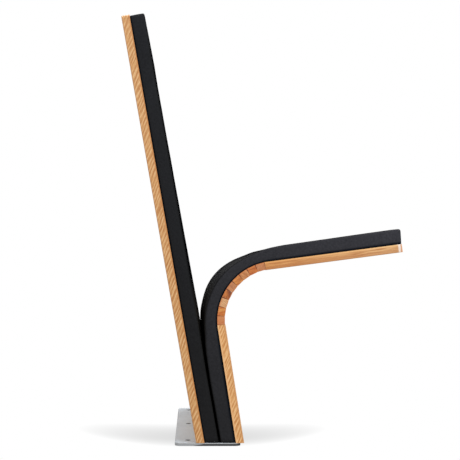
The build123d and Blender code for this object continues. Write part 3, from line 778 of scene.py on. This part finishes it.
class Skin:
    """Closed mesh through rings, which can be cut into pieces whose shading still runs on."""

    def __init__(self, rings):
        self.size = len(rings[0])
        self.rings = rings
        self.lengths = self.measure()
        normals = iter(self.vertex_normals())
        self.rings = [
            [point + next(normals) * self.unevenness(point, j) for j, point in enumerate(ring)]
            for ring in rings
        ]
        self.normals = self.vertex_normals()

    def vertex_normals(self):
        mesh = self.make_mesh(0, len(self.rings) - 1)
        normals = [vertex.normal.copy() for vertex in mesh.vertices]
        bpy.data.meshes.remove(mesh)
        return normals

    def unevenness(self, point, j):
        """How far the stuffed cloth rises or sinks at a ring's point j; nothing at the feet and below."""
        if j < STILL_POINTS or j > self.size - POCKET_POINTS - STILL_POINTS - 1:
            return 0.0
        broad = noise.noise(point * BROAD_WAVES)
        return UNEVENNESS * (broad + FINE_SHARE * noise.noise(point * FINE_WAVES))

    def measure(self):
        """Distance along the path for every ring, and round the ring for every point."""
        middle = SIDE_POINTS + RIM_POINTS + TOP_POINTS
        along = [0.0]
        for one, two in zip(self.rings, self.rings[1:]):
            along.append(along[-1] + (two[middle] - one[middle]).length)
        ring = self.rings[len(self.rings) // 2]
        around = [0.0]
        for one, two in zip(ring, ring[1:] + ring[:1]):
            around.append(around[-1] + (two - one).length)
        self.girth = around[self.size - POCKET_POINTS - 1]
        self.seam = around[SIDE_POINTS + RIM_POINTS * 2 // 3]
        return along, around

    def make_mesh(self, first, last):
        """Mesh of the rings from first to last, closed at the whole skin's ends."""
        rings = self.rings[first : last + 1]
        size = self.size
        faces = []
        for i in range(len(rings) - 1):
            for j in range(size):
                k = (j + 1) % size
                faces.append((i * size + j, i * size + k, (i + 1) * size + k, (i + 1) * size + j))
        if first == 0:
            faces.append(tuple(range(size - 1, -1, -1)))
        if last == len(self.rings) - 1:
            top = (len(rings) - 1) * size
            faces.append(tuple(top + j for j in range(size)))
        mesh = bpy.data.meshes.new("skin")
        mesh.from_pydata([tuple(p) for ring in rings for p in ring], [], faces)
        mesh.polygons.foreach_set("use_smooth", [True] * len(mesh.polygons))
        mesh.update()
        return mesh

    def lay_weave(self, mesh, first):
        """Texture coordinates in metres, round the ring and along the path; an end has even ones."""
        along, around = self.lengths
        layer = mesh.uv_layers.new(name="weave")
        for polygon in mesh.polygons:
            corners = [(index, mesh.loops[index].vertex_index) for index in polygon.loop_indices]
            is_end = len(corners) > 4
            closes_ring = max(vertex % self.size for _, vertex in corners) == self.size - 1
            for index, vertex in corners:
                row, column = divmod(vertex, self.size)
                if is_end:
                    point = mesh.vertices[vertex].co
                    round_it, up = self.girth / 2 + END_SPREAD * point.x, along[first + row] + point.z
                else:
                    round_it = around[self.size if closes_ring and column == 0 else column]
                    up = along[first + row]
                layer.data[index].uv = (round_it, up)

    def piece(self, name, material, slot, first=0, last=None):
        """Piece between two rings, or up to the last one, as an object."""
        last = len(self.rings) - 1 if last is None else last
        mesh = self.make_mesh(first, last)
        mesh.name = name
        self.lay_weave(mesh, first)
        normals = self.normals[first * self.size : (last + 1) * self.size]
        mesh.normals_split_custom_set_from_vertices(normals)
        mesh.materials.append(material)
        obj = add_object(name, mesh)
        return obj


def mid_link(k):
    """Point on the wood's surface in the middle of link k; 0 is the lower run and 10 the seat."""
    return RUNS[k].at(PITCH / 2 if k else -PITCH / 2)


def bend_across(obj, k):
    """Bakes a strip's transform into its mesh; the strip spans hinge line k but isn't made to turn with it.
    """
    tuple(mid_link(k - 1))
    tuple(mid_link(k))
    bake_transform(obj)


def make_seat_cushion():
    """The seat's cushion: one skin, cut at the mid-links."""
    rings, marks = seat_rings()
    skin = Skin(rings)
    cloth = fabric(skin, "seat_fabric", foot=(38, 38, 40), top=(56, 56, 61), dulling=(0.95, 0.99))
    pieces = [skin.piece("seat_pad_lower", cloth, "seat_fabric", 0, marks[0])]
    for k in range(1, len(marks)):
        pieces.append(skin.piece(f"seat_pad_bend_{k}", cloth, "seat_fabric", marks[k - 1], marks[k]))
    pieces.append(skin.piece("seat_pad_front", cloth, "seat_fabric", marks[-1]))
    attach(pieces[0], CHAIN[0])
    for k, piece in enumerate(pieces[1:-1], 1):
        bend_across(piece, k)
    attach(pieces[-1], CHAIN[-1])
    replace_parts(pieces[0], "lower_cover", "lower_foam")
    for piece in pieces[1:-1]:
        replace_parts(piece, "bend_cover", "bend_foam")
    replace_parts(pieces[-1], "seat_cover", "seat_foam")
    return pieces


def make_back_cushion():
    skin = Skin(back_rings())
    cloth = fabric(skin, "back_fabric", foot=(30, 30, 31), top=(36, 37, 40), dulling=(0.84, 0.94))
    back = skin.piece("back_pad", cloth, "back_fabric")
    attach(back, CHAIN[0])
    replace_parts(back, "back_cover", "back_foam")
    return back


def make_cushions():
    for piece in make_seat_cushion() + [make_back_cushion()]:
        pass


# ---- spring strips -------------------------------------------------------------------------------
SPRING_N, SPRING_T = 4.79 * MM, 0.8 * MM  # height above the wood, thickness
SPRING_HALF, SPRING_X = 30 * MM, 95 * MM  # half width, middle of a strip
SPRING_FOOT, SPRING_TIP = 90 * MM, 70 * MM  # straight ends
SPRING_STEPS = 4  # stretches over each hinge line


def strip_ring(run, s, n, x):
    top = n + SPRING_T
    corners = [(-SPRING_HALF, n), (SPRING_HALF, n), (SPRING_HALF, top), (-SPRING_HALF, top)]
    return [run.at(s, m, x + dx) for dx, m in corners]


def strip_piece(name, rows, material):
    """Thin strips through rows of four-cornered rings, one list of rings for each strip."""
    points, faces = [], []
    for rings in rows:
        start = len(points)
        points += [tuple(p) for ring in rings for p in ring]
        for i in range(len(rings) - 1):
            for j in range(4):
                k = (j + 1) % 4
                a, b = start + 4 * i, start + 4 * (i + 1)
                faces.append((a + j, b + j, b + k, a + k))
        end = start + 4 * (len(rings) - 1)
        faces += [(start, start + 1, start + 2, start + 3), (end + 3, end + 2, end + 1, end)]
    mesh = bpy.data.meshes.new(name)
    mesh.from_pydata(points, [], faces)
    mesh.materials.append(material)
    obj = add_object(name, mesh)
    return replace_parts(obj, "return_springs")


def make_springs():
    """Two strips side by side in every piece: a foot, one piece over each hinge line, and a tip."""
    steel = metal("spring_steel", (70, 78, 98), metallic=1.0, roughness=0.32, grain=DRAWN_GRAIN)
    sides = (-SPRING_X, SPRING_X)
    ends = (-PITCH / 2 - SPRING_FOOT, -PITCH / 2)
    foot = [[strip_ring(LOWER, s, SPRING_N, x) for s in ends] for x in sides]
    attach(strip_piece("spring_foot", foot, steel), CHAIN[0])
    for k in range(1, len(HINGES) + 1):
        runs = [bend_run((k - 1 + t) * FOLD) for t in steps(SPRING_STEPS)]
        rows = [[strip_ring(run, 0.0, ARC_R + SPRING_N, x) for run in runs] for x in sides]
        bend_across(strip_piece(f"spring_bend_{k}", rows, steel), k)
    ends = (PITCH / 2, PITCH / 2 + SPRING_TIP)
    tip = [[strip_ring(SEAT, s, SPRING_N, x) for s in ends] for x in sides]
    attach(strip_piece("spring_tip", tip, steel), CHAIN[-1])


# ---- floor, lights and camera --------------------------------------------------------------------
FLOOR_REACH = 40.0
FLOOR_DROP = 0.0004  # keeps the floor clear of the plate's underside
FLOOR_LIGHT = 0.5  # what the floor sends to the object; the camera sees 1
WORLD_LIGHT = 0.48  # what the surroundings send to it
SHADOW_DEPTH = 0.27  # how much darker the shadow's middle is to the camera
# the floor's shadow is an oval along Y that bows to +X at its ends
SHADOW_X, SHADOW_Y = -0.155, 0.01
SHADOW_HALF = 0.285
SHADOW_NEAR, SHADOW_FAR = 0.11, 0.19  # half widths to -X and to +X
SHADOW_BOW = 1.6


def make_floor():
    """White floor with one soft neutral shadow, as in the photograph, that lights the object only dimly."""
    mesh = bpy.data.meshes.new("floor")
    signs = ((-1, -1), (1, -1), (1, 1), (-1, 1))
    corners = [(x * FLOOR_REACH, y * FLOOR_REACH, -FLOOR_DROP) for x, y in signs]
    mesh.from_pydata(corners, [], [(0, 1, 2, 3)])
    shade = Shade("floor")
    x, y = shade.node("SeparateXYZ", shade.coordinates["Object"]).outputs[:2]
    along = shade.math("POWER", shade.add(y, -SHADOW_Y), 2.0)
    across = shade.add(x, -SHADOW_X, shade.times(along, -SHADOW_BOW))
    widening = shade.times(shade.rise(across, -0.01, 0.01), SHADOW_FAR - SHADOW_NEAR)
    across = shade.math("DIVIDE", across, shade.add(SHADOW_NEAR, widening))
    across = shade.math("POWER", across, 2.0)
    depth = shade.rise(shade.add(across, shade.times(along, 1 / SHADOW_HALF**2)), 1.0, 0.0)
    seen = shade.node("LightPath").outputs["Is Camera Ray"]
    more = shade.add(1 - FLOOR_LIGHT, shade.times(depth, -SHADOW_DEPTH))
    strength = shade.add(FLOOR_LIGHT, shade.times(seen, more))
    glow = shade.node("Emission", (1.0, 1.0, 1.0, 1.0), strength).outputs[0]
    shade.tree.links.new(glow, shade.tree.nodes["Material Output"].inputs["Surface"])
    mesh.materials.append(shade.material)
    obj = add_object("floor", mesh)


def area_light(name, place, target, size, power, colour=(1.0, 1.0, 1.0)):
    light = bpy.data.lights.new(name, "AREA")
    light.size = size
    light.energy = power
    light.color = colour
    obj = add_object(name, light)
    obj.location = place
    obj.rotation_euler = (Vector(target) - Vector(place)).to_track_quat("-Z", "Y").to_euler()


def make_lights():
    cool = (0.94, 0.97, 1.0)
    area_light("key", (-1.6, -1.5, 1.0), target=(-0.25, -0.2, 0.4), size=1.0, power=17.0, colour=cool)
    area_light("fill", (-2.6, 1.6, 1.6), target=(0.0, 0.0, 0.4), size=2.0, power=24.0)
    area_light("top", (0.3, -0.4, 2.8), target=(0.0, 0.0, 0.0), size=2.0, power=72.0)


def make_world():
    """White to the camera and to reflections, and a dimmer even light on the object."""
    world = bpy.data.worlds.new("white")
    bpy.context.scene.world = world
    world.use_nodes = True
    tree = world.node_tree
    path = tree.nodes.new("ShaderNodeLightPath")
    seen = path.outputs["Is Camera Ray"]
    for name in ("Is Glossy Ray", "Is Transmission Ray"):
        either = tree.nodes.new("ShaderNodeMath")
        either.operation = "MAXIMUM"
        tree.links.new(seen, either.inputs[0])
        tree.links.new(path.outputs[name], either.inputs[1])
        seen = either.outputs[0]
    level = tree.nodes.new("ShaderNodeMapRange")
    level.inputs["To Min"].default_value = WORLD_LIGHT
    level.inputs["To Max"].default_value = 1.0
    tree.links.new(seen, level.inputs["Value"])
    background = tree.nodes["Background"]
    background.inputs["Color"].default_value = (1.0, 1.0, 1.0, 1.0)
    tree.links.new(level.outputs[0], background.inputs["Strength"])


def make_camera():
    """The photograph's level camera, square to the seat's side, with its picture shifted."""
    camera = bpy.data.cameras.new("camera")
    camera.sensor_width = SENSOR
    camera.lens = FOCAL_PX / PHOTO_PX * SENSOR
    camera.shift_x = (PHOTO_PX / 2 - VIEW_PX[0]) / PHOTO_PX
    camera.shift_y = (VIEW_PX[1] - PHOTO_PX / 2) / PHOTO_PX
    obj = add_object("camera", camera)
    x = -SIDE - FOCAL_PX * SCALE
    y = ANCHOR_Y - (VIEW_PX[0] - ANCHOR_PX) * SCALE
    obj.location = (x, y, (FLOOR_PX - VIEW_PX[1]) * SCALE)
    obj.rotation_euler = (pi / 2, 0.0, -pi / 2)
    bpy.context.scene.camera = obj


dress_nodes()
make_cushions()
make_springs()
make_floor()
make_lights()
make_world()
make_camera()
bpy.context.scene.view_settings.view_transform = "Standard"
